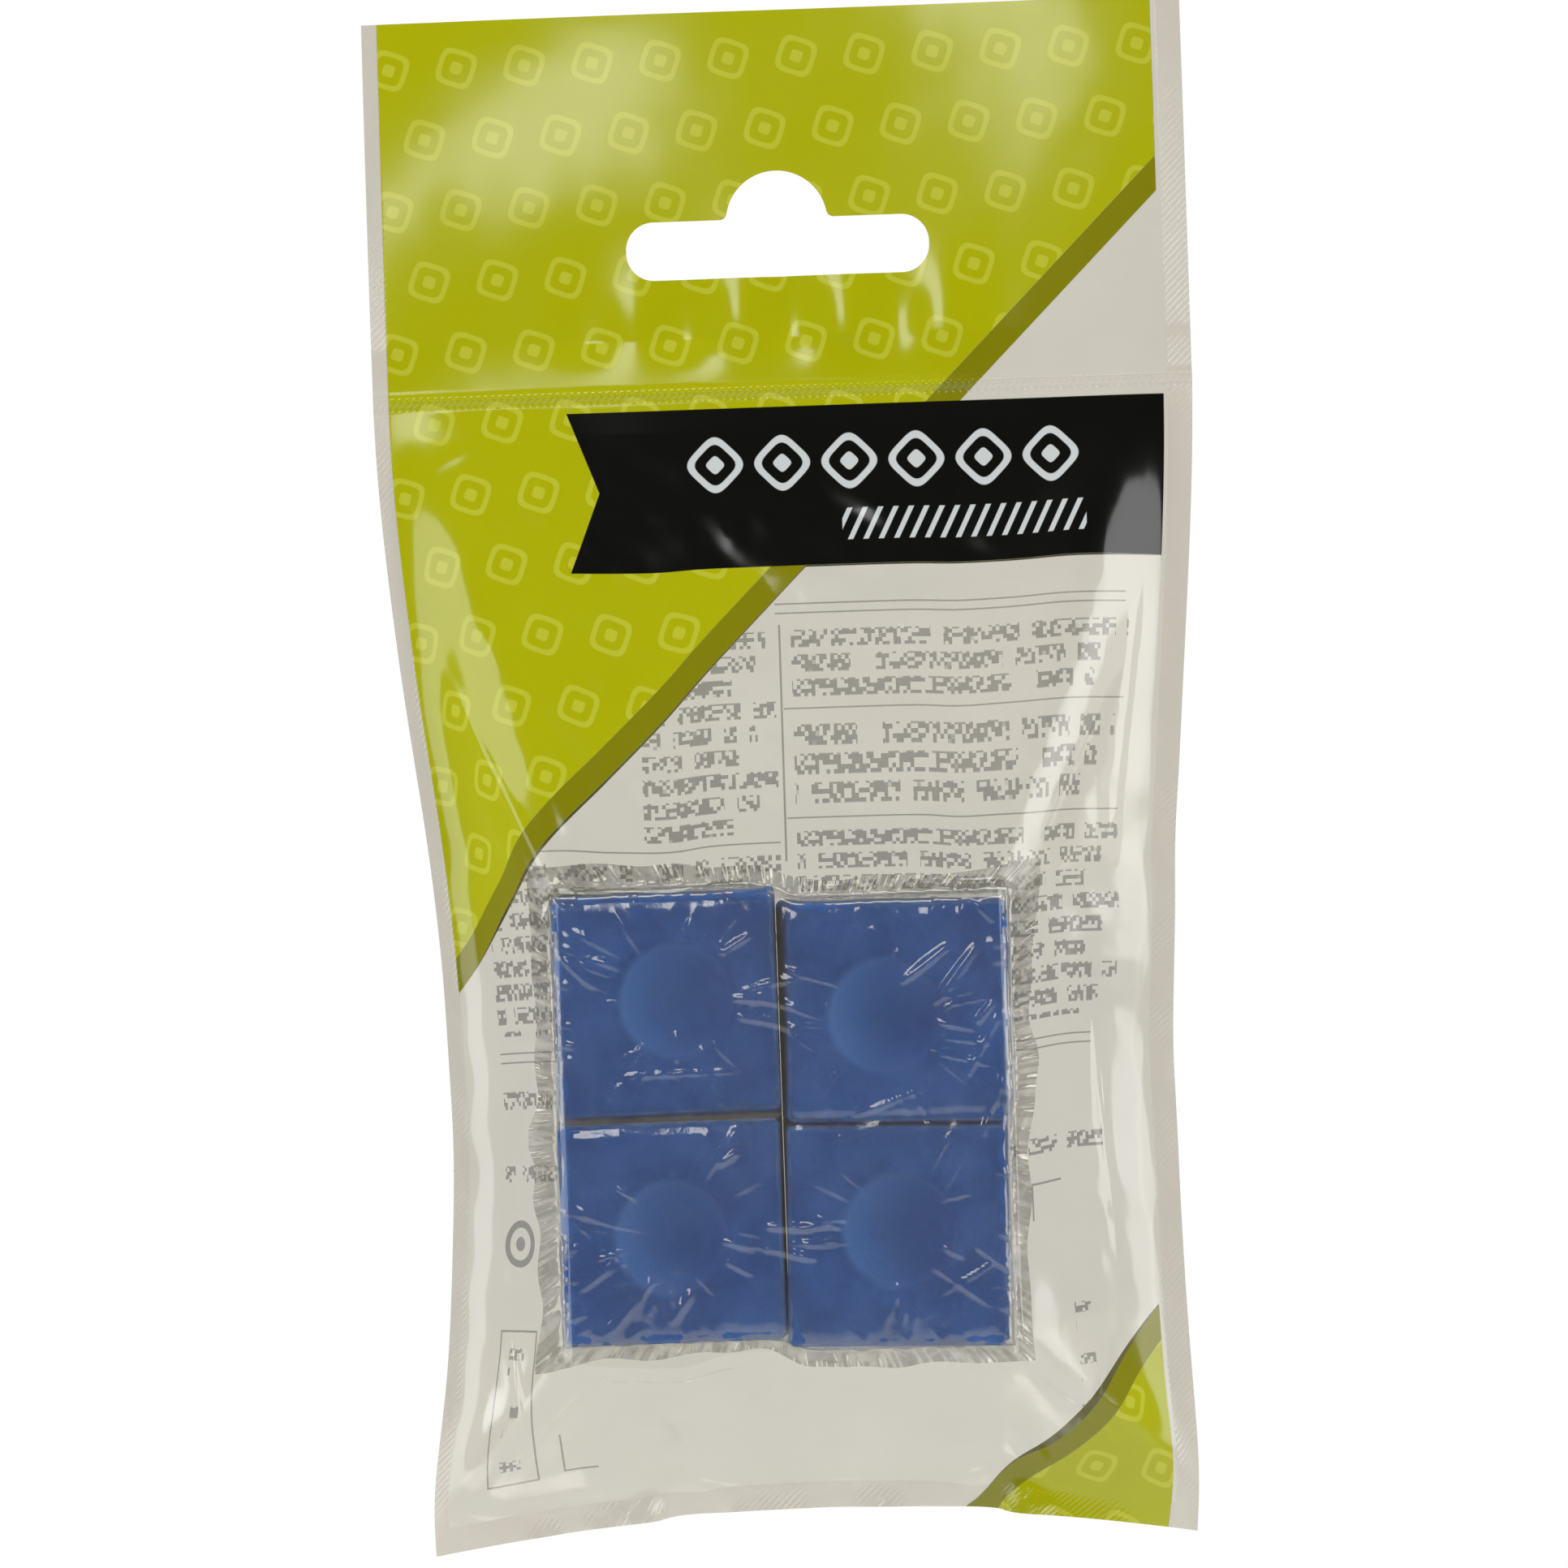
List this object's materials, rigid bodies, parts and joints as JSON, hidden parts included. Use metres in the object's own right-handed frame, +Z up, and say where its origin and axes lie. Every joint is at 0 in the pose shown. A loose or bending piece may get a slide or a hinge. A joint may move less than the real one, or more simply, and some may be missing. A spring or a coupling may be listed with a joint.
{
  "type": "billiard chalk hang pack",
  "caption": "Printed clear film pouch with a domed hang slot in its header, holding a shrink-wrapped block of dimpled blue cue chalk cubes that can fold and shift in the pouch.",
  "frame": {"origin": "top of the hang slot's dome, on the pack's middle plane, where a display peg carries it", "axes": "+Z up, from the pouch to the header; -Y towards the front, printed side; +X to the right as seen from the front"},
  "size_m": [0.08, 0.023, 0.1501],
  "materials": {
    "printed_film": "yellow-green printed film, glossy",
    "clear_film": "clear film, glossy",
    "shrink_film": "clear wrinkled shrink film, glossy",
    "blue_chalk": "pressed chalk, matte and powdery"
  },
  "bodies": {
    "header": {"header_front_film": "printed_film", "header_back_film": "printed_film", "header_side_seal_left": "clear_film", "header_side_seal_right": "clear_film", "crease_seal": "printed_film"},
    "pouch": {"pouch_front_film": "clear_film", "pouch_back_film": "clear_film", "pouch_side_seal_left": "clear_film", "pouch_side_seal_right": "clear_film", "bottom_seal": "clear_film"},
    "block": {"shrink_wrap_front": "shrink_film", "shrink_wrap_back": "shrink_film", "shrink_wrap_fringe": "shrink_film", "chalk_cube_top_left": "blue_chalk", "chalk_cube_top_right": "blue_chalk", "chalk_cube_bottom_left": "blue_chalk", "chalk_cube_bottom_right": "blue_chalk"}
  },
  "joints": [
    {"name": "pouch_fold", "type": "hinge", "parent": "header", "child": "pouch", "pos_m": [0, 0, -0.02225], "axis": [1, 0, 0], "range_deg": [-110, 110]},
    {"name": "block_slide", "type": "slide", "parent": "pouch", "child": "block", "axis": [0, 0, 1], "range_m": [0, 0.01]}
  ]
}
